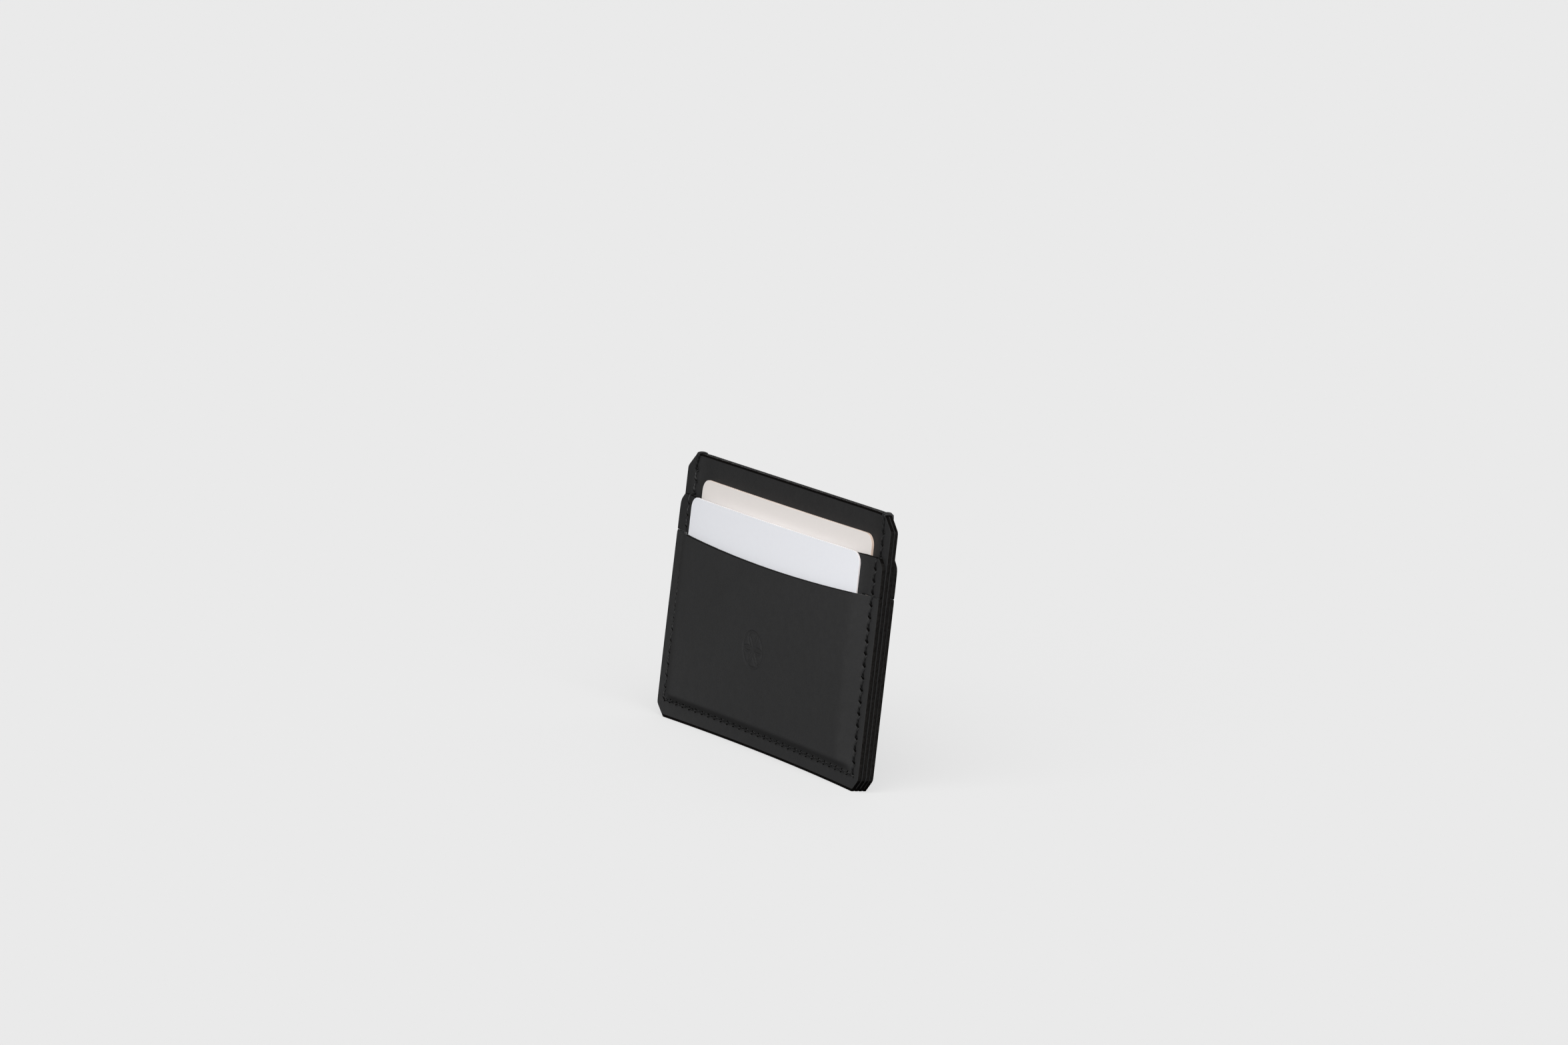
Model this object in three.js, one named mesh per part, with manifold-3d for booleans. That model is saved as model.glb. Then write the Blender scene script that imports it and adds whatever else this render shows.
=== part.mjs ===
// Card holder: a flat leather holder for cards, sewn from six panels with one waxed thread.
// Units are millimetres. +X runs along the width, -Y is the front, +Z is up.
// The origin is under the middle of the holder, on the surface that its bottom edge stands on.
import * as THREE from 'three';
import { mergeGeometries, mergeVertices } from 'three/addons/utils/BufferGeometryUtils.js';
import Module from 'manifold-3d';

const wasm = await Module();
wasm.setup();

// ---- Driving sizes --------------------------------------------------------------------------
const CARD_WIDTH = 85.6; // the cards that the holder is cut for
const CARD_HEIGHT = 53.98;
const CARD_CORNER = 3.18;
const FRONT_CARD = { thickness: 0.5, centre: -0.7, bottom: 7 };
const MIDDLE_CARD = { thickness: 0.76, centre: 0.9, bottom: 12 };

const CARD_MARGIN = 8.7; // leather on each side of the card's width, seam included
const HEIGHT = 72; // height of the two body panels
const LEATHER = 1.1; // thickness of the leather, the same in all six panels
const UPPER_STEP = 11.2; // from the body panels' top edge down to a T-pocket's mouth
const LOWER_STEP = 10.2; // from a T-pocket's mouth down to a low pocket's mouth
const TAIL_BOTTOM = 8.2; // height of the lower edge of a T-pocket's hidden tail
const TAIL_INSET = 7.6; // how far the tail's sides stand in from the holder's sides
const MOUTH_DIP = 1.5; // depth of the shallow curve cut into each pocket mouth

const TOP_CORNER = 4; // leg of the 45 degree cut on the upper corners of a body panel
const BOTTOM_CORNER = 3.3; // the same on the lower corners of full panels
const EAR_CORNER = 1.9; // the same on the upper corners of a T-pocket

const SIDE_INSET = 3.3; // stitch line to the side edges
const BOTTOM_INSET = 4.9; // stitch line to the bottom edge
const TOP_INSET = 3; // least distance from the last hole to the top edge
const STITCH_LENGTH = 3.14; // wanted spacing of the stitching holes
const HOLE_RADIUS = 0.42; // half the diagonal of a four-sided stitching hole
const THREAD_RADIUS = 0.3; // half the diagonal of the thread where it passes through a hole
const THREAD_WIDTH = 0.6; // width of a run of thread on the leather
const THREAD_HEIGHT = 0.4; // how far a run of thread stands off the leather
const TAIL_STITCH_INSET = 1.6; // a tail's stitch line above the tail's lower edge
const TAIL_STITCH_COUNT = 20; // stitches in that line
const GROOVE_DEPTH = 0.45; // groove that sinks the tail's thread below the leather's face

const GLUE_LINE = 0.1; // gap between panels where the seam holds them together
const PLAY = 0.15; // gap on each side of a card or a tail inside its pocket
const THREAD_GAP = 0.06; // gap between the thread and the leather it lies on
const SEAM_LAND = 0.6; // flat leather kept inside the stitch line before a panel lifts
const RAISED_LAND = 0.5; // flat leather kept beyond card and tail before a panel drops to the seam
const RAMP_STEPS = 3; // facets across each lift from the seam to the raised middle
const CURVE_STEPS = 12; // facets along a pocket mouth
const CORNER_STEPS = 5; // facets round a card's corner
const MERGE_DISTANCE = 1e-4; // vertices nearer than this are one vertex

// ---- Sizes that follow ----------------------------------------------------------------------
const halfWidth = CARD_WIDTH / 2 + CARD_MARGIN;
const tPocketHeight = HEIGHT - UPPER_STEP;
const pocketHeight = tPocketHeight - LOWER_STEP;
const stitchX = halfWidth - SIDE_INSET;
const tailHalf = halfWidth - TAIL_INSET;
const tailStitchZ = TAIL_BOTTOM + TAIL_STITCH_INSET;
const earBottom = pocketHeight + GLUE_LINE;

// Distance of each panel's middle from the holder's middle plane at the seams.
const layerPitch = LEATHER + GLUE_LINE;
const bodySeam = layerPitch / 2;
const pocketSeam = bodySeam + layerPitch;
const seamFace = pocketSeam + LEATHER / 2;
const bodyFace = bodySeam + LEATHER / 2;

// The same at the raised middle, stacked from the front face to the back face.
const middleThickness = 6 * LEATHER + FRONT_CARD.thickness + MIDDLE_CARD.thickness + 6 * PLAY + GLUE_LINE;
const stackStart = -middleThickness / 2;
const frontPocketMid = stackStart + LEATHER / 2;
const frontCardMid = frontPocketMid + LEATHER / 2 + PLAY + FRONT_CARD.thickness / 2;
const frontTailMid = frontCardMid + FRONT_CARD.thickness / 2 + PLAY + LEATHER / 2;
const middleCardMid = frontTailMid + LEATHER / 2 + PLAY + MIDDLE_CARD.thickness / 2;
const frontBodyMid = middleCardMid + MIDDLE_CARD.thickness / 2 + PLAY + LEATHER / 2;
const rearBodyMid = frontBodyMid + LEATHER + GLUE_LINE;
const rearTailMid = rearBodyMid + LEATHER + PLAY;
const rearPocketMid = rearTailMid + LEATHER + PLAY;
const sewnTailMid = frontBodyMid - LEATHER - GLUE_LINE;

// Where the panels rise: outside seamX and below seamZ they lie flat in the seam.
const cardReach = CARD_WIDTH / 2 + Math.max(Math.abs(FRONT_CARD.centre), Math.abs(MIDDLE_CARD.centre));
const seamX = stitchX - SEAM_LAND;
const raisedX = Math.max(cardReach, tailHalf) + RAISED_LAND;
const seamZ = BOTTOM_INSET + SEAM_LAND;
const raisedZ = FRONT_CARD.bottom - PLAY;
const tailSewnZ = tailStitchZ + SEAM_LAND;
const tailRaisedZ = MIDDLE_CARD.bottom - PLAY;

// ---- Solids ---------------------------------------------------------------------------------
const toSolid = (geometry) => {
  const plain = geometry.index ? geometry.toNonIndexed() : geometry.clone();
  plain.deleteAttribute('normal');
  plain.deleteAttribute('uv');
  const merged = mergeVertices(plain, MERGE_DISTANCE);
  const mesh = new wasm.Mesh({
    numProp: 3,
    vertProperties: new Float32Array(merged.attributes.position.array),
    triVerts: new Uint32Array(merged.index.array),
  });
  return new wasm.Manifold(mesh);
};

const toGeometry = (solid) => {
  const mesh = solid.getMesh();
  const geometry = new THREE.BufferGeometry();
  geometry.setAttribute('position', new THREE.BufferAttribute(mesh.vertProperties, 3));
  geometry.setIndex(new THREE.BufferAttribute(mesh.triVerts, 1));
  geometry.computeVertexNormals();
  return geometry;
};

// Extrudes an outline drawn in X and Z through the thickness, from y = front to y = back.
const prism = (outline, front, back, curveSegments = CURVE_STEPS) => {
  const geometry = new THREE.ExtrudeGeometry(outline, {
    depth: back - front,
    bevelEnabled: false,
    steps: 1,
    curveSegments,
  });
  return geometry.rotateX(Math.PI / 2).translate(0, back, 0);
};

// An outline through a list of [x, z] corners; a corner given as {dip, to} is reached by a curve.
const outlineOf = (corners) => {
  const outline = new THREE.Shape();
  corners.forEach((corner, index) => {
    if (index === 0) {
      outline.moveTo(...corner);
    } else if (Array.isArray(corner)) {
      outline.lineTo(...corner);
    } else {
      const [x, z] = corner.to;
      outline.quadraticCurveTo(0, z - 2 * corner.dip, x, z);
    }
  });
  outline.closePath();
  return outline;
};

// ---- Panels ---------------------------------------------------------------------------------
// Stations across a sheet: none on the flat stretches, and inside each ramp the places where
// the ramp's S-curve has risen by equal steps.
const easeInverse = (share) => 0.5 - Math.sin(Math.asin(1 - 2 * share) / 3);
const ramp = (from, to) =>
  Array.from({ length: RAMP_STEPS + 1 }, (_, step) => from + (to - from) * easeInverse(step / RAMP_STEPS));

const rise = (value, low, high) => THREE.MathUtils.smoothstep(value, low, high);

// A sheet of leather whose middle lies at liftAt(x, z) from the holder's middle plane.
const sheet = (stationsX, stationsZ, liftAt) => {
  const geometry = new THREE.BoxGeometry(1, 1, 1, stationsX.length - 1, 1, stationsZ.length - 1);
  const position = geometry.attributes.position;
  for (let index = 0; index < position.count; index += 1) {
    const column = Math.round((position.getX(index) + 0.5) * (stationsX.length - 1));
    const row = Math.round((position.getZ(index) + 0.5) * (stationsZ.length - 1));
    const x = stationsX[column];
    const z = stationsZ[row];
    const y = liftAt(x, z) + Math.sign(position.getY(index)) * (LEATHER / 2);
    position.setXYZ(index, x, y, z);
  }
  return geometry;
};

const sheetMargin = 1; // how far a sheet runs past its outline before it is cut
const stationsX = [
  -halfWidth - sheetMargin,
  ...ramp(-seamX, -raisedX),
  ...ramp(raisedX, seamX),
  halfWidth + sheetMargin,
];
const stationsZ = [-sheetMargin, ...ramp(seamZ, raisedZ), HEIGHT + sheetMargin];
const tailStationsZ = [-sheetMargin, ...ramp(tailSewnZ, tailRaisedZ), HEIGHT + sheetMargin];

const acrossShape = (x) => 1 - rise(Math.abs(x), raisedX, seamX);

// A full panel is flat in the seam and stands at its raised level over the cards.
const fullLift = (seam, raised) => (x, z) =>
  seam + (raised - seam) * acrossShape(x) * rise(z, seamZ, raisedZ);

// A T-pocket's ears lie in the seam; its tail is sewn down low and stands off above that.
const tailLift = (seam, raised, sewn) => (x, z) =>
  seam + (sewn + (raised - sewn) * rise(z, tailSewnZ, tailRaisedZ) - seam) * acrossShape(x);

const cutSheet = (geometry, outline) => {
  const cutter = prism(outline, -middleThickness, middleThickness);
  return toSolid(geometry).intersect(toSolid(cutter));
};

const bodyOutline = outlineOf([
  [-halfWidth + BOTTOM_CORNER, 0],
  [halfWidth - BOTTOM_CORNER, 0],
  [halfWidth, BOTTOM_CORNER],
  [halfWidth, HEIGHT - TOP_CORNER],
  [halfWidth - TOP_CORNER, HEIGHT],
  [-halfWidth + TOP_CORNER, HEIGHT],
  [-halfWidth, HEIGHT - TOP_CORNER],
  [-halfWidth, BOTTOM_CORNER],
]);

const pocketOutline = outlineOf([
  [-halfWidth + BOTTOM_CORNER, 0],
  [halfWidth - BOTTOM_CORNER, 0],
  [halfWidth, BOTTOM_CORNER],
  [halfWidth, pocketHeight],
  [seamX, pocketHeight],
  { dip: MOUTH_DIP, to: [-seamX, pocketHeight] },
  [-halfWidth, pocketHeight],
  [-halfWidth, BOTTOM_CORNER],
]);

const tPocketOutline = outlineOf([
  [-tailHalf, TAIL_BOTTOM],
  [tailHalf, TAIL_BOTTOM],
  [tailHalf, earBottom],
  [halfWidth, earBottom],
  [halfWidth, tPocketHeight - EAR_CORNER],
  [halfWidth - EAR_CORNER, tPocketHeight],
  [seamX, tPocketHeight],
  { dip: MOUTH_DIP, to: [-seamX, tPocketHeight] },
  [-halfWidth + EAR_CORNER, tPocketHeight],
  [-halfWidth, tPocketHeight - EAR_CORNER],
  [-halfWidth, earBottom],
  [-tailHalf, earBottom],
]);

// ---- Stitching holes ------------------------------------------------------------------------
const spread = (from, to, count) =>
  Array.from({ length: count + 1 }, (_, index) => from + ((to - from) * index) / count);

const bottomCount = Math.round((2 * stitchX) / STITCH_LENGTH);
const sideCount = Math.floor((HEIGHT - TOP_INSET - BOTTOM_INSET) / STITCH_LENGTH);
const sideTop = BOTTOM_INSET + sideCount * STITCH_LENGTH;
const bottomPoints = spread(-stitchX, stitchX, bottomCount).map((x) => [x, BOTTOM_INSET]);
const sidePoints = spread(BOTTOM_INSET, sideTop, sideCount)
  .slice(1)
  .flatMap((z) => [[-stitchX, z], [stitchX, z]]);
const seamPoints = [...bottomPoints, ...sidePoints];

const tailStitchHalf = (TAIL_STITCH_COUNT * STITCH_LENGTH) / 2;
const tailPoints = spread(-tailStitchHalf, tailStitchHalf, TAIL_STITCH_COUNT).map((x) => [x, tailStitchZ]);

// One four-sided peg at each point, standing from y = front to y = back.
const pegs = (points, radius, front, back) =>
  toSolid(
    mergeGeometries(
      points.map(([x, z]) =>
        new THREE.CylinderGeometry(radius, radius, back - front, 4).translate(x, (front + back) / 2, z),
      ),
    ),
  );

const block = (x0, x1, y0, y1, z0, z1) =>
  toSolid(
    new THREE.BoxGeometry(x1 - x0, y1 - y0, z1 - z0).translate((x0 + x1) / 2, (y0 + y1) / 2, (z0 + z1) / 2),
  );

const seamHoles = pegs(seamPoints, HOLE_RADIUS, -middleThickness, middleThickness);
const tailHoles = (front, back) => pegs(tailPoints, HOLE_RADIUS, front, back);

// A straight groove along a tail's stitch line, cut from y = front to y = back.
const holeMargin = HOLE_RADIUS + THREAD_GAP;
const tailGroove = (front, back) =>
  block(
    -tailStitchHalf - holeMargin,
    tailStitchHalf + holeMargin,
    front,
    back,
    tailStitchZ - holeMargin,
    tailStitchZ + holeMargin,
  );

// ---- The six panels -------------------------------------------------------------------------
const frontTailFace = sewnTailMid - LEATHER / 2;
const frontBodyBack = frontBodyMid + LEATHER / 2;
const rearBodyFront = rearBodyMid - LEATHER / 2;
const rearTailFace = rearTailMid + LEATHER / 2;
const frontTailCut = tailHoles(frontTailFace - PLAY, frontBodyBack + GLUE_LINE / 2);
const rearTailCut = tailHoles(rearBodyFront - GLUE_LINE / 2, rearTailFace + PLAY);

const fullSheet = (seam, raised) => sheet(stationsX, stationsZ, fullLift(seam, raised));
const tailSheet = (seam, raised, sewn) => sheet(stationsX, tailStationsZ, tailLift(seam, raised, sewn));

const frontPocket = cutSheet(fullSheet(-pocketSeam, frontPocketMid), pocketOutline).subtract(seamHoles);
const rearPocket = cutSheet(fullSheet(pocketSeam, rearPocketMid), pocketOutline).subtract(seamHoles);

const frontTPocket = cutSheet(tailSheet(-pocketSeam, frontTailMid, sewnTailMid), tPocketOutline)
  .subtract(seamHoles)
  .subtract(frontTailCut)
  .subtract(tailGroove(frontTailFace - PLAY, frontTailFace + GROOVE_DEPTH));
const rearTPocket = cutSheet(tailSheet(pocketSeam, rearTailMid, rearTailMid), tPocketOutline)
  .subtract(seamHoles)
  .subtract(rearTailCut)
  .subtract(tailGroove(rearTailFace - GROOVE_DEPTH, rearTailFace + PLAY));

const frontBody = cutSheet(fullSheet(-bodySeam, frontBodyMid), bodyOutline)
  .subtract(seamHoles)
  .subtract(frontTailCut)
  .subtract(tailGroove(frontBodyBack - GROOVE_DEPTH, frontBodyBack + GLUE_LINE / 2));
const rearBody = cutSheet(fullSheet(bodySeam, rearBodyMid), bodyOutline)
  .subtract(seamHoles)
  .subtract(rearTailCut)
  .subtract(tailGroove(rearBodyFront - GLUE_LINE / 2, rearBodyFront + GROOVE_DEPTH));

// ---- Threads --------------------------------------------------------------------------------
// Side view of the seam thread, drawn in Y and Z: up the front, over the top edge and down the back.
const runInside = seamFace + THREAD_GAP;
const upperInside = bodyFace + THREAD_GAP;
const stepLow = tPocketHeight + THREAD_GAP;
const stepHigh = stepLow + (runInside - upperInside) / 2;
const archBottom = BOTTOM_INSET - THREAD_WIDTH / 2;
const archInside = HEIGHT + THREAD_GAP;
const frontSide = (offset) => [
  [-runInside - offset, archBottom],
  [-runInside - offset, stepLow + offset],
  [-upperInside - offset, stepHigh + offset],
  [-upperInside - offset, archInside + offset],
];
const mirrored = (points) => points.map(([y, z]) => [-y, z]).reverse();
const archLine = (offset) => [...frontSide(offset), ...mirrored(frontSide(offset))];
const archOutline = outlineOf([...archLine(THREAD_HEIGHT), ...archLine(0).reverse()]);

const threadArch = (x) => {
  const geometry = new THREE.ExtrudeGeometry(archOutline, { depth: THREAD_WIDTH, bevelEnabled: false });
  geometry.rotateX(Math.PI / 2).rotateZ(Math.PI / 2);
  return toSolid(geometry.translate(x - THREAD_WIDTH / 2, 0, 0));
};

const bottomRun = (front, back) =>
  block(
    -stitchX - THREAD_WIDTH / 2,
    stitchX + THREAD_WIDTH / 2,
    front,
    back,
    BOTTOM_INSET - THREAD_WIDTH / 2,
    BOTTOM_INSET + THREAD_WIDTH / 2,
  );

// Each leg ends inside the run it joins: the runs above the step over the ears lie further in.
const legReach = THREAD_HEIGHT / 2;
const isHigh = ([, z]) => z > (stepLow + stepHigh) / 2;
const lowPoints = seamPoints.filter((point) => !isHigh(point));
const highPoints = seamPoints.filter(isHigh);
const seamThread = threadArch(-stitchX)
  .add(threadArch(stitchX))
  .add(bottomRun(-runInside - THREAD_HEIGHT, -runInside))
  .add(bottomRun(runInside, runInside + THREAD_HEIGHT))
  .add(pegs(lowPoints, THREAD_RADIUS, -runInside - legReach, runInside + legReach))
  .add(pegs(highPoints, THREAD_RADIUS, -upperInside - legReach, upperInside + legReach));

// The thread of a tail lies sunk in the grooves of the tail and of the body panel behind it.
const tailThread = (front, back) => {
  const runHeight = GROOVE_DEPTH - 2 * THREAD_GAP;
  const x = tailStitchHalf + THREAD_WIDTH / 2;
  const low = tailStitchZ - THREAD_WIDTH / 2;
  const high = tailStitchZ + THREAD_WIDTH / 2;
  const frontRun = block(-x, x, front + THREAD_GAP, front + THREAD_GAP + runHeight, low, high);
  const backRun = block(-x, x, back - THREAD_GAP - runHeight, back - THREAD_GAP, low, high);
  const inset = THREAD_GAP + runHeight / 2;
  return frontRun.add(backRun).add(pegs(tailPoints, THREAD_RADIUS, front + inset, back - inset));
};

// ---- Cards ----------------------------------------------------------------------------------
const card = ({ thickness, centre, bottom }, middle) => {
  const left = centre - CARD_WIDTH / 2;
  const right = centre + CARD_WIDTH / 2;
  const top = bottom + CARD_HEIGHT;
  const r = CARD_CORNER;
  const outline = new THREE.Shape();
  outline.moveTo(left + r, bottom);
  outline.absarc(right - r, bottom + r, r, -Math.PI / 2, 0);
  outline.absarc(right - r, top - r, r, 0, Math.PI / 2);
  outline.absarc(left + r, top - r, r, Math.PI / 2, Math.PI);
  outline.absarc(left + r, bottom + r, r, Math.PI, Math.PI * 1.5);
  return toSolid(prism(outline, middle - thickness / 2, middle + thickness / 2, CORNER_STEPS));
};

// ---- Assembly -------------------------------------------------------------------------------
const leather = { color: 0x2b2b2d, roughness: 0.62, metalness: 0 };
const waxedThread = { color: 0x141415, roughness: 0.45, metalness: 0 };
const whiteCard = { color: 0xe1e2ea, roughness: 0.5, metalness: 0 };
const creamCard = { color: 0xded4cc, roughness: 0.5, metalness: 0 };

const holder = new THREE.Group();
const place = (name, solid, finish) => {
  const mesh = new THREE.Mesh(toGeometry(solid), new THREE.MeshStandardMaterial(finish));
  mesh.name = name;
  holder.add(mesh);
};

place('front_pocket', frontPocket, leather);
place('front_t_pocket', frontTPocket, leather);
place('front_body', frontBody, leather);
place('rear_body', rearBody, leather);
place('rear_t_pocket', rearTPocket, leather);
place('rear_pocket', rearPocket, leather);
place('seam_thread', seamThread, waxedThread);
place('front_t_pocket_thread', tailThread(frontTailFace, frontBodyBack), waxedThread);
place('rear_t_pocket_thread', tailThread(rearBodyFront, rearTailFace), waxedThread);
place('front_card', card(FRONT_CARD, frontCardMid), whiteCard);
place('middle_card', card(MIDDLE_CARD, middleCardMid), creamCard);

export default holder;
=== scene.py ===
import math

import bmesh
import bpy
from mathutils import Matrix, Vector


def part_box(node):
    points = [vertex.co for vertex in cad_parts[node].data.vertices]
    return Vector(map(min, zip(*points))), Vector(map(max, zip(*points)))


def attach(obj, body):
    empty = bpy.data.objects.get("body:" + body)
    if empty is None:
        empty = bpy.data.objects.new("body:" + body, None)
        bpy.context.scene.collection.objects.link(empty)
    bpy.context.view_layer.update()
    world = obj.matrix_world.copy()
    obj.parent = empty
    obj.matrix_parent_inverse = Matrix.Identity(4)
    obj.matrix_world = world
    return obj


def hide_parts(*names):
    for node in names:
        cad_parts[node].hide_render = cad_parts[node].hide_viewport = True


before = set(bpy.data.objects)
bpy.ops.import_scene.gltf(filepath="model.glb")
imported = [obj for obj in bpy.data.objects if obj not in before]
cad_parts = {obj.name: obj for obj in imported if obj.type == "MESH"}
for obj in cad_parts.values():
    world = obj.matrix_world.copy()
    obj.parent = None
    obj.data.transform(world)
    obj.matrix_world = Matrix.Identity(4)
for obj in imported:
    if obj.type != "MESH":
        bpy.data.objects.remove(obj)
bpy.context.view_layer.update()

# ---- Body panels ----------------------------------------------------------------------------
# Two tall panels of smooth black leather, back to back, with the centre pocket open between
# them at the top. Each is cut flat with snipped corners, its edges are dyed and rubbed round,
# and it is punched for the seam; once sewn it bends round what the pockets hold.
mm = 0.001
leather = 1.1 * mm
glue_line = 0.1 * mm
side_inset = 3.3 * mm
bottom_inset = 4.9 * mm
top_inset = 3 * mm
stitch_length = 3.14 * mm
top_snip = 4 * mm
low_snip = 3.3 * mm
edge_round = 0.34 * mm
grid_step = 0.55 * mm
dye_and_shade_strip = 0.75 * mm

body_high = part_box("front_body")[1]
half_width = body_high.x
height = body_high.z
stitch_x = half_width - side_inset
low_pocket_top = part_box("front_pocket")[1].z


def ease(value, low, high):
    share = min(max((value - low) / (high - low), 0), 1)
    return share * share * (3 - 2 * share)


def spaced(start, end, steps):
    return [start + (end - start) * i / steps for i in range(steps + 1)]


# The seam is sewn by hand, so its line drifts: it starts a little lower on the right, and on
# the left it leans in towards the top.
right_start = 4.2 * mm
left_drift = 1.6 * mm
left_outset = 0.4 * mm
right_drift = 0.3 * mm
bottom_stitches = round(2 * stitch_x / stitch_length)
side_stitches = int((height - top_inset - bottom_inset) / stitch_length)


def left_hole(i):
    along = math.sin(math.pi / 2 * i / side_stitches)
    return -stitch_x - left_outset + left_drift * along, bottom_inset + i * stitch_length


def right_hole(i):
    return stitch_x - right_drift * i / side_stitches, right_start + i * stitch_length


def bottom_hole(i):
    share = i / bottom_stitches
    x = left_hole(0)[0] * (1 - share) + right_hole(0)[0] * share
    return x, bottom_inset * (1 - share) + right_start * share


left_holes = [left_hole(i) for i in range(side_stitches + 1)]
right_holes = [right_hole(i) for i in range(side_stitches + 1)]
bottom_holes = [bottom_hole(i) for i in range(1, bottom_stitches)]
seam_holes = left_holes[::-1] + bottom_holes + right_holes

# How the sewn holder bends: flat in the seam, lifted over the cards, crowned towards the
# mouths where the cards push the leather out, bowed back along the bottom edge, and with the
# top of its left side eased back.
lifted_left = 41 * mm
lifted_right = 39.5 * mm
seam_x = stitch_x + 0.2 * mm
seam_z = bottom_inset - 0.1 * mm
lifted_z = 7.2 * mm
crown_z = 46 * mm
bottom_bow = 2.5 * mm
left_ease = 0.26 * mm
ease_x_start = 38 * mm
ease_x_end = 50 * mm
ease_z_start = 12 * mm
ease_z_end = 58 * mm


def lifted(x, z):
    inner = lifted_right if x > 0 else lifted_left
    return (1 - ease(abs(x), inner, seam_x) ** 2) * ease(z, seam_z, lifted_z)


def crowned(x, z):
    return max(0, 1 - (x / stitch_x) ** 2) * ease(z, seam_z, crown_z)


def bowed(x, z):
    bow = bottom_bow * (1 - (x / half_width) ** 2) * (1 - min(z / height, 1)) ** 5
    return bow + left_ease * ease(-x, ease_x_start, ease_x_end) * ease(z, ease_z_start, ease_z_end)


def level(x, z, seam, raised, crown=0):
    """Distance behind the holder's middle plane of a layer that lies at seam in the seam."""
    return seam + (raised - seam) * lifted(x, z) - crown * crowned(x, z) + bowed(x, z)


def grid_columns():
    return spaced(-half_width, half_width, round(2 * half_width / grid_step))


def grid_rows(top):
    rows = spaced(0, top, round(top / grid_step))
    rows[1] = dye_and_shade_strip
    return rows


def snip(x, z, top, top_leg, low_leg, softness=0.35 * mm):
    """The x of a point of the rectangle, moved inwards so that the corners are cut at 45 degrees."""
    hinge = 44 * mm
    over = max(low_leg - z, z - (top - top_leg))
    reach = half_width - (over + math.hypot(over, softness)) / 2
    if abs(x) <= hinge:
        return x
    share = (abs(x) - hinge) / (half_width - hinge)
    return math.copysign(hinge + (reach - hinge) * share, x)


def blank(columns, rows, dye_and_shade_rows=1):
    """A flat rectangle of leather, faced to the front, whose grid lines lie on the given places.
    The dark finish of the bottom edge, its dye and painted shade, runs onto its first row, and with two
    dark rows onto the last."""
    piece = bmesh.new()
    bmesh.ops.create_grid(piece, x_segments=len(columns) - 1, y_segments=len(rows) - 1, size=0.5)
    for vert in piece.verts:
        column = round((vert.co.x + 0.5) * (len(columns) - 1))
        row = round((vert.co.y + 0.5) * (len(rows) - 1))
        vert.co = (columns[column], -leather / 2, rows[row])
    for face in piece.faces:
        row_z = face.calc_center_median().z
        if row_z < rows[1] or (dye_and_shade_rows == 2 and row_z > rows[-2]):
            face.material_index = 2
    return piece


butt_line_x = 42 * mm


def on_butt_line(centre):
    """Whether a place is on the line where an ear meets the low pocket, which keeps the face finish instead
    of the dark edge finish.
    """
    return abs(centre.x) > butt_line_x and abs(centre.z - low_pocket_top) < 2 * grid_step


def thicken(piece, thickness, rounding, segments):
    """Gives a flat blank its thickness, rounds its cut edges and gives them the edge finishes."""
    grown = bmesh.ops.extrude_face_region(piece, geom=piece.faces[:])["geom"]
    moved = [part for part in grown if isinstance(part, bmesh.types.BMVert)]
    bmesh.ops.translate(piece, vec=(0, thickness, 0), verts=moved)
    bmesh.ops.recalc_face_normals(piece, faces=piece.faces)
    square = math.radians(80)
    sharp = [edge for edge in piece.edges if edge.calc_face_angle(0) > square]
    rim = [edge for edge in sharp if abs(edge.verts[0].co.y - edge.verts[1].co.y) < thickness / 2]
    bmesh.ops.bevel(
        piece, geom=rim, offset=rounding, offset_type="OFFSET", segments=segments,
        profile=0.5, affect="EDGES", clamp_overlap=True, material=-1,
    )
    middle = (thickness - leather) / 2
    for face in piece.faces:
        centre = face.calc_center_median()
        # Cut edges that lie along the top and bottom take the darker edge finish, which is partly dye and
        # partly painted shade.
        lies_along = abs(face.normal.z) > 0.6 * math.hypot(face.normal.x, face.normal.z)
        if thickness / 2 - abs(centre.y - middle) > 0.2 * rounding:
            face.material_index = 2 if lies_along else 1
        if face.material_index == 2 and on_butt_line(centre):
            face.material_index = 0


def as_object(piece, name, *finishes):
    mesh = bpy.data.meshes.new(name)
    piece.to_mesh(mesh)
    piece.free()
    for finish in finishes:
        mesh.materials.append(finish)
    mesh.shade_smooth()
    made = bpy.data.objects.new(name, mesh)
    bpy.context.scene.collection.objects.link(made)
    return made


# Smooth full-grain leather, drum-dyed black: a fine pebbled grain under a faint cloudiness.
# Its cut edges are fibrous, dyed and waxed, darker and with a trace of brown.
def noise(finish, scale, detail, roughness=0.5):
    nodes, links = finish.node_tree.nodes, finish.node_tree.links
    place = nodes.new("ShaderNodeTexCoord")
    texture = nodes.new("ShaderNodeTexNoise")
    texture.inputs["Scale"].default_value = scale
    texture.inputs["Detail"].default_value = detail
    texture.inputs["Roughness"].default_value = roughness
    links.new(place.outputs["Object"], texture.inputs["Vector"])
    return texture.outputs["Fac"]


def span(finish, value, low, high, to_low, to_high):
    fit = finish.node_tree.nodes.new("ShaderNodeMapRange")
    for socket, number in zip(("From Min", "From Max", "To Min", "To Max"), (low, high, to_low, to_high)):
        fit.inputs[socket].default_value = number
    finish.node_tree.links.new(value, fit.inputs["Value"])
    return fit.outputs["Result"]


def tint(finish, share, low, high):
    """A colour between low and high; each is a colour or a socket."""
    mix = finish.node_tree.nodes.new("ShaderNodeMix")
    mix.data_type = "RGBA"
    finish.node_tree.links.new(share, mix.inputs["Factor"])
    for value, socket in ((low, mix.inputs[6]), (high, mix.inputs[7])):
        if isinstance(value, tuple):
            socket.default_value = (*value, 1)
        else:
            finish.node_tree.links.new(value, socket)
    return mix.outputs[2]


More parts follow.
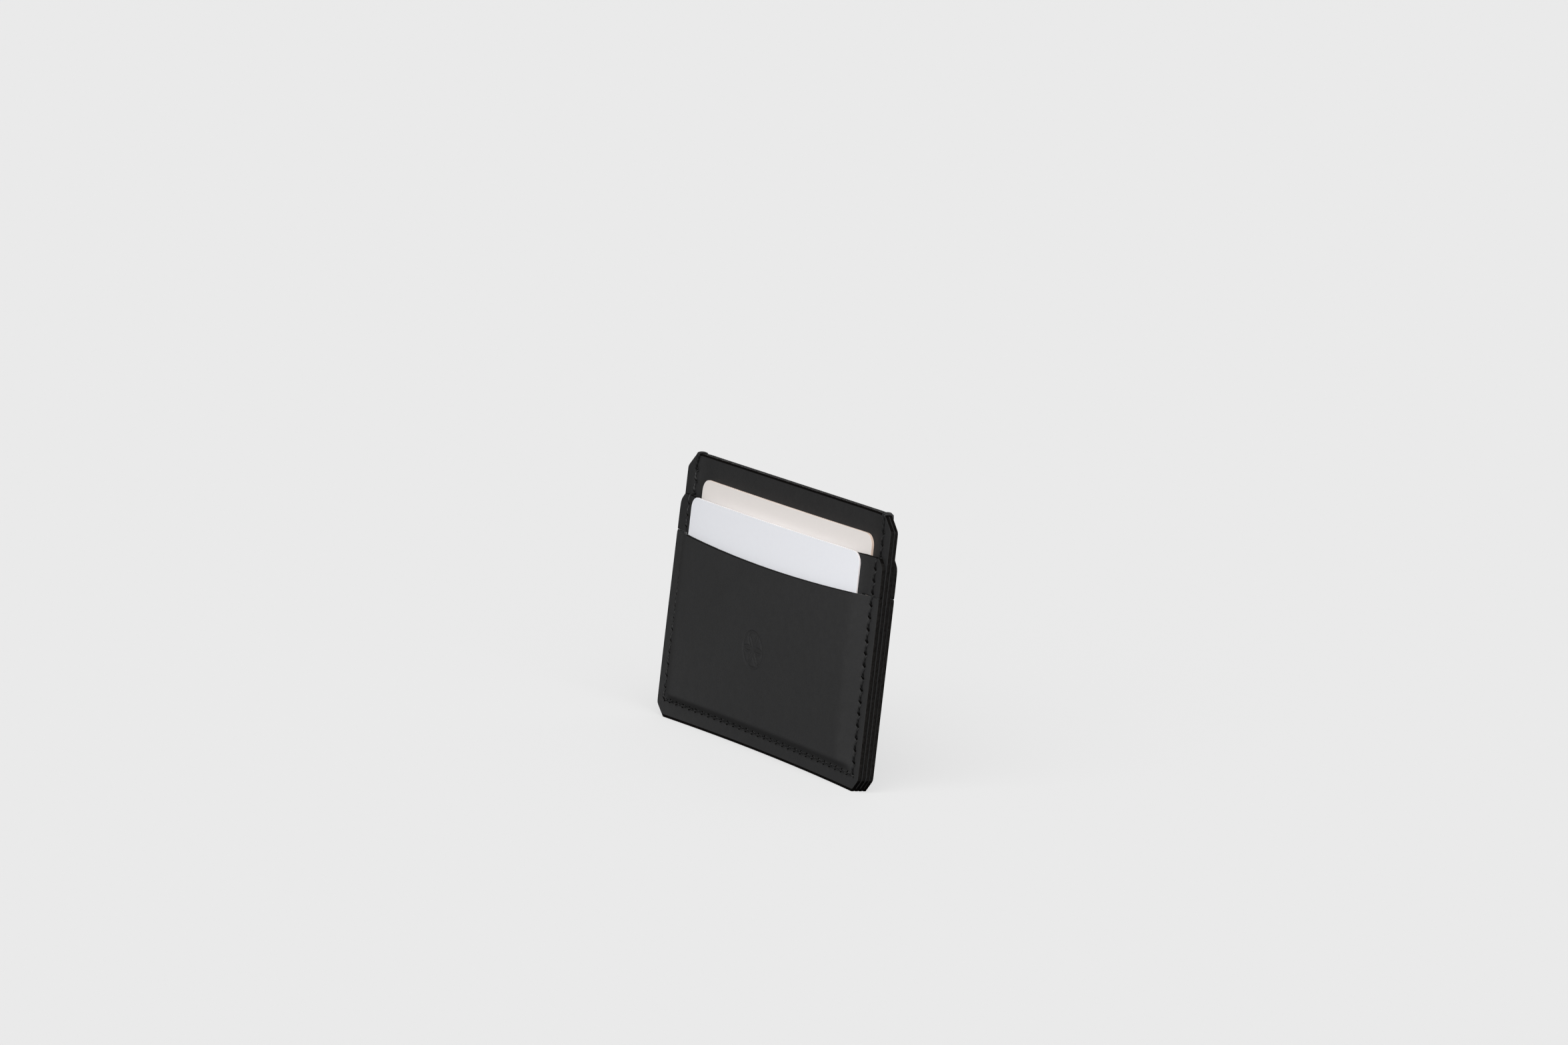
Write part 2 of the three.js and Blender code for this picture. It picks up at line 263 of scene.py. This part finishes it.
def bump(finish, height, strength, distance, under=None):
    relief = finish.node_tree.nodes.new("ShaderNodeBump")
    relief.inputs["Strength"].default_value = strength
    relief.inputs["Distance"].default_value = distance
    finish.node_tree.links.new(height, relief.inputs["Height"])
    if under:
        finish.node_tree.links.new(under, relief.inputs["Normal"])
    return relief.outputs["Normal"]


def new_finish(name, index, specular):
    finish = bpy.data.materials.new(name)
    finish.use_nodes = True
    shader = finish.node_tree.nodes["Principled BSDF"]
    shader.inputs["IOR"].default_value = index
    shader.inputs["Specular IOR Level"].default_value = specular
    return finish, shader


def connect(finish, shader, colour, roughness, normal):
    for value, socket in ((colour, "Base Color"), (roughness, "Roughness"), (normal, "Normal")):
        finish.node_tree.links.new(value, shader.inputs[socket])


def grained_leather(name, shade, shine):
    finish, shader = new_finish(name, 1.4, shine)
    # A shade below 1 darkens every tone of the leather: painted shade.
    dye = (0.0120 * shade, 0.0120 * shade, 0.0124 * shade)
    cloud = (0.0141 * shade, 0.0141 * shade, 0.0146 * shade)
    pore = (0.0090 * shade, 0.0090 * shade, 0.0094 * shade)
    clouds = span(finish, noise(finish, 55, 4, 0.6), 0.35, 0.65, 0, 1)
    pores = span(finish, noise(finish, 1500, 3, 0.7), 0.45, 0.7, 0, 0.6)
    colour = tint(finish, pores, tint(finish, clouds, dye, cloud), pore)
    gloss = span(finish, noise(finish, 420, 4, 0.6), 0.3, 0.7, 0.6, 0.7)
    nodes, links = finish.node_tree.nodes, finish.node_tree.links
    place = nodes.new("ShaderNodeTexCoord")
    pebbles = nodes.new("ShaderNodeTexVoronoi")
    pebbles.inputs["Scale"].default_value = 1900
    links.new(place.outputs["Object"], pebbles.inputs["Vector"])
    grain = bump(finish, pebbles.outputs["Distance"], 0.2, 0.05 * mm)
    connect(finish, shader, colour, gloss, bump(finish, noise(finish, 300, 5, 0.62), 0.25, 0.1 * mm, grain))
    return finish


def rubbed_edge(name, deep, worn):
    finish, shader = new_finish(name, 1.2, 0.1)
    fibres = noise(finish, 1300, 6, 0.75)
    colour = tint(finish, span(finish, fibres, 0.35, 0.7, 0, 1), deep, worn)
    gloss = span(finish, noise(finish, 600, 3), 0.3, 0.7, 0.55, 0.8)
    connect(finish, shader, colour, gloss, bump(finish, fibres, 0.5, 0.12 * mm))
    return finish


outer_leather = grained_leather("outer_leather", 1, 0.6)
# The body panels and T-pockets take a darker, less shiny copy of the same leather; its extra darkness is
# painted shade.
inner_leather_painted_shade = grained_leather("inner_leather_painted_shade", 0.85, 0.48)
side_edge = rubbed_edge("side_edge", (0.0052, 0.0048, 0.0045), (0.0195, 0.0183, 0.0175))
# The faces of the top and bottom edges take a darker copy of the edge finish than the sides: partly the
# edge's real black dye, partly painted shade.
long_edge_dye_and_shade = rubbed_edge("long_edge_dye_and_shade", (0.0020, 0.0017, 0.0016), (0.0065, 0.0056, 0.0050))

# The slanted slits are punched through every layer of the seam.
slit_length = 1.45 * mm
slit_width = 0.62 * mm
slit_slant = math.radians(45)
slit_mouth = 1.3
slit_root = 0.42
slit_depth = 1.04 * leather


def slit_cutter(side):
    """Cutters for the slits of the panels on one side: wide at the face, narrow inside."""
    wide, narrow = (slit_mouth, slit_root) if side > 0 else (slit_root, slit_mouth)
    piece = bmesh.new()
    upright, level_run = math.pi / 2, 0
    places = [(x, z, upright) for x, z in left_holes + right_holes]
    places += [(x, z, level_run) for x, z in bottom_holes]
    facing_out = Matrix.Rotation(math.pi / 2, 4, "X")
    for x, z, run in places:
        lie = Matrix.Translation((x, 0, z)) @ Matrix.Rotation(slit_slant - run, 4, "Y")
        shape = lie @ Matrix.Diagonal((slit_width / 2, 1, slit_length / 2, 1)) @ facing_out
        bmesh.ops.create_cone(
            piece, cap_ends=True, segments=8, radius1=wide, radius2=narrow, depth=slit_depth, matrix=shape
        )
    # The slit walls take the dark long-edge finish: painted shade inside the slits.
    for face in piece.faces:
        face.material_index = 2
    return as_object(piece, "slits", inner_leather_painted_shade, side_edge, long_edge_dye_and_shade)


def punch(panel, cutter):
    """Cuts the slits for good, so that the panel carries no live modifier."""
    cut = panel.modifiers.new("slits", "BOOLEAN")
    cut.operation = "DIFFERENCE"
    cut.solver = "EXACT"
    cut.object = cutter
    scene_state = bpy.context.evaluated_depsgraph_get()
    punched = bpy.data.meshes.new_from_object(panel.evaluated_get(scene_state))
    panel.modifiers.clear()
    whole = panel.data
    panel.data = punched
    bpy.data.meshes.remove(whole)


slits = {side: slit_cutter(side) for side in (-1, 1)}

# The tight thread beds into the leather, and pulls it down round each slit.
thread_bed = 0.1 * mm
slit_dimple = 0.28 * mm
dimple_reach = 0.7 * mm
bed_reach = 0.6 * mm


def pulled(x, z):
    """How far the tight thread pulls the face in at a place; nothing away from the seam."""
    beyond = 2.2 * mm
    if abs(x) < stitch_x - left_drift - beyond and z > bottom_inset + beyond:
        return 0
    nearest = min(math.hypot(x - hole_x, z - hole_z) for hole_x, hole_z in seam_holes)
    if z < bottom_inset + beyond:
        share = (x + stitch_x) / (2 * stitch_x)
        line = math.hypot(max(abs(x) - stitch_x, 0), z - bottom_inset * (1 - share) - right_start * share)
    else:
        line = beyond
    i = min(max((z - (bottom_inset if x < 0 else right_start)) / stitch_length, 0), side_stitches)
    hole = right_hole(i) if x > 0 else left_hole(i)
    line = min(line, math.hypot(x - hole[0], z - hole[1]))
    bed = thread_bed * math.exp(-((line / bed_reach) ** 2))
    return bed + slit_dimple * math.exp(-((nearest / dimple_reach) ** 2))


def lay(panel, seam, raised, crown, outer, pressed=None):
    """Bends a flat panel to its place; outer is -1 or 1 for the face that the thread lies on."""
    for vert in panel.data.vertices:
        x, y, z = vert.co
        bend = level(x, z, seam, raised, crown)
        if y * outer > leather * 0.3:
            bend -= outer * pulled(x, z)
            if pressed:
                bend -= outer * pressed(x, z)
        vert.co.y = y + bend
    panel.data.update()


body_seam = (leather + glue_line) / 2


def cut_body(name, node, side):
    piece = blank(grid_columns(), grid_rows(height), dye_and_shade_rows=2)
    for vert in piece.verts:
        vert.co.x = snip(vert.co.x, vert.co.z, height, top_snip, low_snip)
    thicken(piece, leather, edge_round, 3)
    panel = as_object(piece, name, inner_leather_painted_shade, side_edge, long_edge_dye_and_shade)
    punch(panel, slits[side])
    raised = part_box(node)[1].y - leather / 2
    lay(panel, side * body_seam, raised, 0, side)
    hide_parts(node)
    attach(panel, "holder")


cut_body("front_body_leather", "front_body", -1)
cut_body("rear_body_leather", "rear_body", 1)

# ---- T-pockets ------------------------------------------------------------------------------
# The stepped pockets in front of and behind the body: a band of the same leather across the
# full width, whose ears lie in the side seams, on a narrower tail that hangs out of sight
# inside the low pocket. The mouth is cut in a shallow curve.
ear_snip = 1.9 * mm
tail_inset = 7.6 * mm
t_mouth_dip = 1.2 * mm
t_crown = 1.2 * mm
mouth_reach = 9 * mm
dip_end = 43 * mm
pocket_seam = body_seam + leather + glue_line
ear_bottom = low_pocket_top + glue_line
tail_x = half_width - tail_inset
ear_softness = 0.9 * mm


def move_nearest(lines, value):
    """Shifts the grid line that lies nearest to a wanted place onto it."""
    nearest = min(range(len(lines)), key=lambda i: abs(lines[i] - value))
    lines[nearest] = value


def dip_mouth(piece, top, dip):
    for vert in piece.verts:
        share = max(0, 1 - (vert.co.x / dip_end) ** 2)
        vert.co.z -= dip * share * ease(vert.co.z, top - mouth_reach, top)


def cut_t_pocket(name, node, side):
    low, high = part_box(node)
    columns = grid_columns()
    rows = [low.z] + [z for z in grid_rows(high.z) if z > low.z + grid_step / 2]
    move_nearest(columns, -tail_x)
    move_nearest(columns, tail_x)
    move_nearest(rows, ear_bottom)
    piece = blank(columns, rows)
    spare = [
        face
        for face in piece.faces
        if abs(face.calc_center_median().x) > tail_x and face.calc_center_median().z < ear_bottom
    ]
    bmesh.ops.delete(piece, geom=spare, context="FACES")
    for vert in piece.verts:
        vert.co.x = snip(vert.co.x, vert.co.z, high.z, ear_snip, 0, ear_softness)
    dip_mouth(piece, high.z, t_mouth_dip)
    thicken(piece, leather, edge_round, 3)
    panel = as_object(piece, name, inner_leather_painted_shade, side_edge, long_edge_dye_and_shade)
    punch(panel, slits[side])
    raised = low.y + leather / 2 if side < 0 else high.y - leather / 2
    lay(panel, side * pocket_seam, raised, t_crown if side < 0 else 0, side)
    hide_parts(node)
    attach(panel, "holder")


cut_t_pocket("front_t_pocket_leather", "front_t_pocket", -1)
cut_t_pocket("rear_t_pocket_leather", "rear_t_pocket", 1)

# ---- Low pockets ----------------------------------------------------------------------------
# The lowest panels, front and rear, of the same leather: they cover the tails, and their
# curved mouths hold the outermost cards. The front one has a plain blind stamp near its
# middle, a compass-drawn rosette.
low_mouth_dip = 1.15 * mm
front_crown = 1.46 * mm
rear_crown = -0.5 * mm
stamp_x = -2.1 * mm
stamp_z = 27.1 * mm
stamp_radius = 4.8 * mm
stamp_line = 0.2 * mm
stamp_depth = 0.19 * mm
stamp_wall = 0.24 * mm
stamp_grid = 0.16 * mm


def stamp(x, z):
    """Depth of the stamp: a ring, and six arcs of the same radius that meet at its middle."""
    x, z = x - stamp_x, z - stamp_z
    middle = math.hypot(x, z)
    if middle > stamp_radius + 1 * mm:
        return 0
    strokes = [abs(middle - stamp_radius)]
    if middle < stamp_radius:
        turns = spaced(0, math.tau, 6)[1:]
        corners = [(stamp_radius * math.cos(a), stamp_radius * math.sin(a)) for a in turns]
        strokes += [abs(math.hypot(x - cx, z - cz) - stamp_radius) for cx, cz in corners]
    return stamp_depth * (1 - ease(min(strokes) - stamp_line, 0, stamp_wall))


def refine(lines, low, high, step):
    """Puts finer grid lines between two places."""
    coarse = [value for value in lines if value < low - step / 2 or value > high + step / 2]
    return sorted(coarse + spaced(low, high, round((high - low) / step)))


def cut_low_pocket(name, node, side, crown, pressed=None):
    low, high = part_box(node)
    columns, rows = grid_columns(), grid_rows(high.z)
    if pressed:
        reach = stamp_radius + 0.8 * mm
        columns = refine(columns, stamp_x - reach, stamp_x + reach, stamp_grid)
        rows = refine(rows, stamp_z - reach, stamp_z + reach, stamp_grid)
    piece = blank(columns, rows)
    for vert in piece.verts:
        vert.co.x = snip(vert.co.x, vert.co.z, high.z, 0, low_snip)
    dip_mouth(piece, high.z, low_mouth_dip)
    thicken(piece, leather, edge_round, 3)
    panel = as_object(piece, name, outer_leather, side_edge, long_edge_dye_and_shade)
    punch(panel, slits[side])
    raised = low.y + leather / 2 if side < 0 else high.y - leather / 2
    lay(panel, side * pocket_seam, raised, crown, side, pressed)
    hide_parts(node)
    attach(panel, "holder")


cut_low_pocket("front_pocket_leather", "front_pocket", -1, front_crown, stamp)
cut_low_pocket("rear_pocket_leather", "rear_pocket", 1, rear_crown)
for cutter in slits.values():
    bpy.data.objects.remove(cutter)

# ---- Seam thread ----------------------------------------------------------------------------
# One length of waxed black thread, saddle-stitched down one side, along the bottom and up the
# other: each stitch comes out of one slit and slants over to the next, front and rear alike,
# and at the two top corners it wraps twice over the edge.
thread_radius = 0.3 * mm
thread_rise = 0.16 * mm
slant = 0.2 * mm
step_start = 0.1 * mm
step_end = 0.5 * mm
t_pocket_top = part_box("front_t_pocket")[1].z
seam_face = pocket_seam + leather / 2
body_face = body_seam + leather / 2


def strand(path, radius, sides=8):
    """A closed round strand along a path of points."""
    piece = bmesh.new()
    ways = [(path[i + 1] - path[i]).normalized() for i in range(len(path) - 1)]
    heads = [ways[0]] + [(a + b).normalized() for a, b in zip(ways, ways[1:])] + [ways[-1]]
    turn = Vector((0, 0, 1)).rotation_difference(heads[0]).to_matrix().to_4x4()
    bmesh.ops.create_circle(
        piece, cap_ends=True, segments=sides, radius=radius, matrix=Matrix.Translation(path[0]) @ turn
    )
    tip = piece.faces[:][0]
    for here, there, old, new in zip(path, path[1:], heads, heads[1:]):
        grown = bmesh.ops.extrude_face_region(piece, geom=[tip])["geom"]
        tip = next(part for part in grown if isinstance(part, bmesh.types.BMFace))
        bend = old.rotation_difference(new).to_matrix().to_4x4()
        move = Matrix.Translation(there) @ bend @ Matrix.Translation(-here)
        bmesh.ops.transform(piece, matrix=move, verts=tip.verts[:])
    bmesh.ops.recalc_face_normals(piece, faces=piece.faces)
    return piece


def gather(whole, piece):
    """Adds a finished strand to a growing piece."""
    mesh = bpy.data.meshes.new("strand")
    piece.to_mesh(mesh)
    piece.free()
    whole.from_mesh(mesh)
    bpy.data.meshes.remove(mesh)


def seam_surface(z):
    """Distance of the leather's outer face from the middle plane, in the seam."""
    return seam_face - (seam_face - body_face) * ease(z, t_pocket_top - step_start, t_pocket_top + step_end)


# Along a stitch: the share of its run, and its height over the leather in thread rises. Both
# ends go down to the holder's middle plane.
stitch_profile = (
    (0, None), (0.09, -3), (0.16, -1.4), (0.26, 0.3), (0.4, 1),
    (0.6, 1), (0.74, 0.3), (0.84, -1.4), (0.91, -3), (1, None),
)


def stitch(start, end, side, surface):
    """One stitch between two holes (x, z), out of the first slit, over the face and down the next."""
    run = Vector((end[0] - start[0], 0, end[1] - start[1]))
    left = Vector((-run.z, 0, run.x)).normalized()
    points = []
    for share, rise in stitch_profile:
        spot = Vector((start[0], 0, start[1])) + run * share + left * slant * (1 - 2 * share)
        if rise is not None:
            spot.y = side * (surface(spot.z) - thread_bed + rise * thread_rise)
        points.append(spot)
    return points


def follow(points, lift):
    """Carries a path drawn over the flat seam to where the bent leather is."""
    return [Vector((p.x, p.y + lift(p.x, p.z), p.z)) for p in points]


wrap_start = 0.3 * mm
wrap_margin = 0.9 * mm
arch_drop = 0.45 * mm
arch_clear = 0.75 * thread_radius
root_depth = 0.3 * mm
wrap_steps = (0.15 * mm, 0.8 * mm)


def corner_wrap(hole, top_x):
    """A strand over the top edge at a corner, from the highest hole in front to the one behind."""
    x, z = hole
    over = height - max(0, abs(top_x) - (half_width - top_snip))
    out = body_face + 0.5 * thread_radius
    front = []
    for share in spaced(0, 1, 5):
        rise = z + wrap_start + (over - z - wrap_margin) * share
        front.append(Vector((x + (top_x - x) * share, -out, rise)))
    arch = []
    for a in spaced(0, math.pi, 10)[1:-1]:
        crest = over - arch_drop + (arch_drop + arch_clear) * math.sin(a) ** 0.5
        arch.append(Vector((top_x, -out * math.cos(a), crest)))
    rear = [Vector((p.x, -p.y, p.z)) for p in reversed(front)]
    root = [Vector((x, 0, z)), Vector((x, -body_face + root_depth, z))]
    return root + front + arch + rear + [Vector((p.x, -p.y, p.z)) for p in reversed(root)]


def twisted_thread():
    """Waxed twisted thread: the plies slant across it, with a waxy shine."""
    finish, shader = new_finish("waxed_thread", 1.45, 0.35)
    nodes, links = finish.node_tree.nodes, finish.node_tree.links
    place = nodes.new("ShaderNodeTexCoord")
    turned = nodes.new("ShaderNodeMapping")
    turned.inputs["Rotation"].default_value = (0, math.radians(40), 0)
    links.new(place.outputs["Object"], turned.inputs["Vector"])
    plies = nodes.new("ShaderNodeTexWave")
    plies.inputs["Scale"].default_value = 340
    plies.inputs["Distortion"].default_value = 1.2
    plies.inputs["Detail"].default_value = 2
    plies.inputs["Detail Scale"].default_value = 3
    links.new(turned.outputs["Vector"], plies.inputs["Vector"])
    colour = tint(finish, plies.outputs["Fac"], (0.0065, 0.0065, 0.0068), (0.0190, 0.0190, 0.0195))
    gloss = span(finish, noise(finish, 2500, 2), 0, 1, 0.38, 0.6)
    connect(finish, shader, colour, gloss, bump(finish, plies.outputs["Fac"], 0.7, 0.12 * mm))
    return finish


waxed_thread = twisted_thread()
seam = bmesh.new()
for start, end in zip(seam_holes, seam_holes[1:]):
    for side in (-1, 1):
        gather(seam, strand(follow(stitch(start, end, side, seam_surface), bowed), thread_radius))
for hole in (left_holes[-1], right_holes[-1]):
    for step in wrap_steps:
        top_x = hole[0] - math.copysign(step, hole[0])
        gather(seam, strand(follow(corner_wrap(hole, top_x), bowed), thread_radius))
seam_piece = as_object(seam, "seam_stitches", waxed_thread)
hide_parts("seam_thread")
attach(seam_piece, "holder")

# ---- Tail threads ---------------------------------------------------------------------------
# A short row of the same thread sews the foot of each hidden tail to the body panel next to
# it. Its stitches are a little thinner than those of the seam.
tail_thread_radius = 0.8 * thread_radius
for node in ("front_t_pocket_thread", "rear_t_pocket_thread"):
    low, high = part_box(node)
    count = round((high.x - low.x) / stitch_length)
    reach = count * stitch_length / 2
    row_z = (low.z + high.z) / 2
    middle = (low.y + high.y) / 2
    face_out = (high.y - low.y) / 2
    row = bmesh.new()
    for start, end in zip(spaced(-reach, reach, count), spaced(-reach, reach, count)[1:]):
        for side in (-1, 1):
            path = stitch((start, row_z), (end, row_z), side, lambda z: face_out)
            gather(row, strand(follow(path, lambda x, z: middle + bowed(x, z)), tail_thread_radius))
    row_piece = as_object(row, node.replace("_thread", "_stitches"), waxed_thread)
    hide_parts(node)
    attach(row_piece, "holder")

# ---- Cards ----------------------------------------------------------------------------------
# Two plain cards of the common pocket size with round corners: a thin cool-white one in the
# low pocket and a thicker cream one with a tan edge in the T-pocket. They bow with the leather.
card_corner = 3.18 * mm
card_edge_round = 0.1 * mm
front_card_crown = 1.45 * mm
middle_card_crown = 0.9 * mm


def card_stock(name, face, gloss):
    finish, shader = new_finish(name, 1.45, 0.35)
    fibres = noise(finish, 900, 5)
    colour = tint(finish, fibres, tuple(channel * 0.97 for channel in face), face)
    roughness = span(finish, fibres, 0, 1, gloss, gloss + 0.12)
    connect(finish, shader, colour, roughness, bump(finish, fibres, 0.12, 0.03 * mm))
    return finish


def cut_card(name, node, crown, face, edge):
    low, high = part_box(node)
    thickness = high.y - low.y
    middle = (low.y + high.y) / 2
    centre = (low + high) / 2
    size = Matrix.Diagonal((high.x - low.x, high.z - low.z, 1, 1))
    stand = Matrix.Translation((centre.x, -leather / 2, centre.z)) @ Matrix.Rotation(math.pi / 2, 4, "X")
    piece = bmesh.new()
    bmesh.ops.create_grid(piece, x_segments=1, y_segments=1, size=0.5, matrix=stand @ size)
    bmesh.ops.bevel(
        piece, geom=piece.verts[:], offset=card_corner, offset_type="OFFSET", segments=10,
        profile=0.5, affect="VERTICES", material=-1,
    )
    lines = [((x, 0, 0), (1, 0, 0)) for x in spaced(low.x, high.x, 32)[1:-1]]
    lines += [((0, 0, z), (0, 0, 1)) for z in spaced(low.z, high.z, 14)[1:-1]]
    for place, across in lines:
        whole = piece.verts[:] + piece.edges[:] + piece.faces[:]
        bmesh.ops.bisect_plane(piece, geom=whole, plane_co=place, plane_no=across)
    thicken(piece, thickness, card_edge_round, 2)
    for vert in piece.verts:
        x, y, z = vert.co
        flat = y + leather / 2 - thickness / 2 + middle
        vert.co.y = flat - crown * crowned(x, z) + bowed(x, z)
    card = as_object(piece, name, face, edge)
    card.data.set_sharp_from_angle(angle=math.radians(20))
    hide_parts(node)
    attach(card, node)


white_stock = card_stock("white_card", (0.895, 0.905, 0.945), 0.42)
white_edge = card_stock("white_card_edge", (0.74, 0.70, 0.70), 0.55)
cream_stock = card_stock("cream_card", (0.82, 0.775, 0.745), 0.45)
cream_edge = card_stock("cream_card_edge", (0.66, 0.52, 0.43), 0.55)
cut_card("front_card_plain", "front_card", front_card_crown, white_stock, white_edge)
cut_card("middle_card_plain", "middle_card", middle_card_crown, cream_stock, cream_edge)

# ---- Stage ----------------------------------------------------------------------------------
# A plain pale floor that runs far past the view, under even soft daylight. One broad light from
# the right of the front casts the only shadow. Three that cast none fill in from the left of
# the front, from below and from behind, and the floor glows a little, so shadows are faint.
floor_mesh = bmesh.new()
bmesh.ops.create_grid(floor_mesh, x_segments=1, y_segments=1, size=15)
floor_finish, floor_shader = new_finish("pale_floor", 1.45, 0)
floor_shader.inputs["Base Color"].default_value = (0.27, 0.27, 0.27, 1)
floor_shader.inputs["Emission Color"].default_value = (1, 1, 1, 1)
floor_shader.inputs["Emission Strength"].default_value = 0.524
floor_shader.inputs["Roughness"].default_value = 0.9
floor = as_object(floor_mesh, "floor", floor_finish)
floor.visible_diffuse = False
floor.visible_glossy = False

world = bpy.data.worlds.new("studio")
world.use_nodes = True
world.node_tree.nodes["Background"].inputs["Color"].default_value = (1, 1, 1, 1)
world.node_tree.nodes["Background"].inputs["Strength"].default_value = 0.1
bpy.context.scene.world = world


def turned_to(azimuth, elevation):
    """The turn that looks at the holder from a direction; azimuth 0 is the front, 90 is +X."""
    around = Matrix.Rotation(math.radians(azimuth), 4, "Z")
    return around @ Matrix.Rotation(math.radians(90 - elevation), 4, "X")


def soft_sun(name, azimuth, elevation, strength, spread, shadows=True):
    """A broad light from a direction."""
    light = bpy.data.lights.new(name, "SUN")
    light.use_shadow = shadows
    light.energy = strength
    light.angle = math.radians(spread)
    lamp = bpy.data.objects.new(name, light)
    lamp.matrix_world = turned_to(azimuth, elevation)
    bpy.context.scene.collection.objects.link(lamp)


soft_sun("key_light", 52, 34, 3.5, 70)
soft_sun("front_fill", -28, -14, 0.55, 40, shadows=False)
soft_sun("floor_bounce", 25, -50, 0.3, 60, shadows=False)
soft_sun("back_fill", -140, 30, 2.4, 60, shadows=False)

# ---- Camera ---------------------------------------------------------------------------------
# Long lens from the right of the front, a little above the holder and slightly tilted.
view_azimuth = 57.903
view_elevation = 7.716
view_tilt = 6.56
view_distance = 1.7354
view_aim = (-3.5 * mm, 1.1 * mm, 60.9 * mm)
camera_data = bpy.data.cameras.new("camera")
camera_data.lens = 152.31
camera_data.sensor_width = 36
camera_data.clip_end = 60
camera = bpy.data.objects.new("camera", camera_data)
camera.matrix_world = (
    Matrix.Translation(view_aim)
    @ turned_to(view_azimuth, view_elevation)
    @ Matrix.Rotation(math.radians(view_tilt), 4, "Z")
    @ Matrix.Translation((0, 0, view_distance))
)
bpy.context.scene.collection.objects.link(camera)
bpy.context.scene.camera = camera
bpy.context.scene.view_settings.view_transform = "Standard"
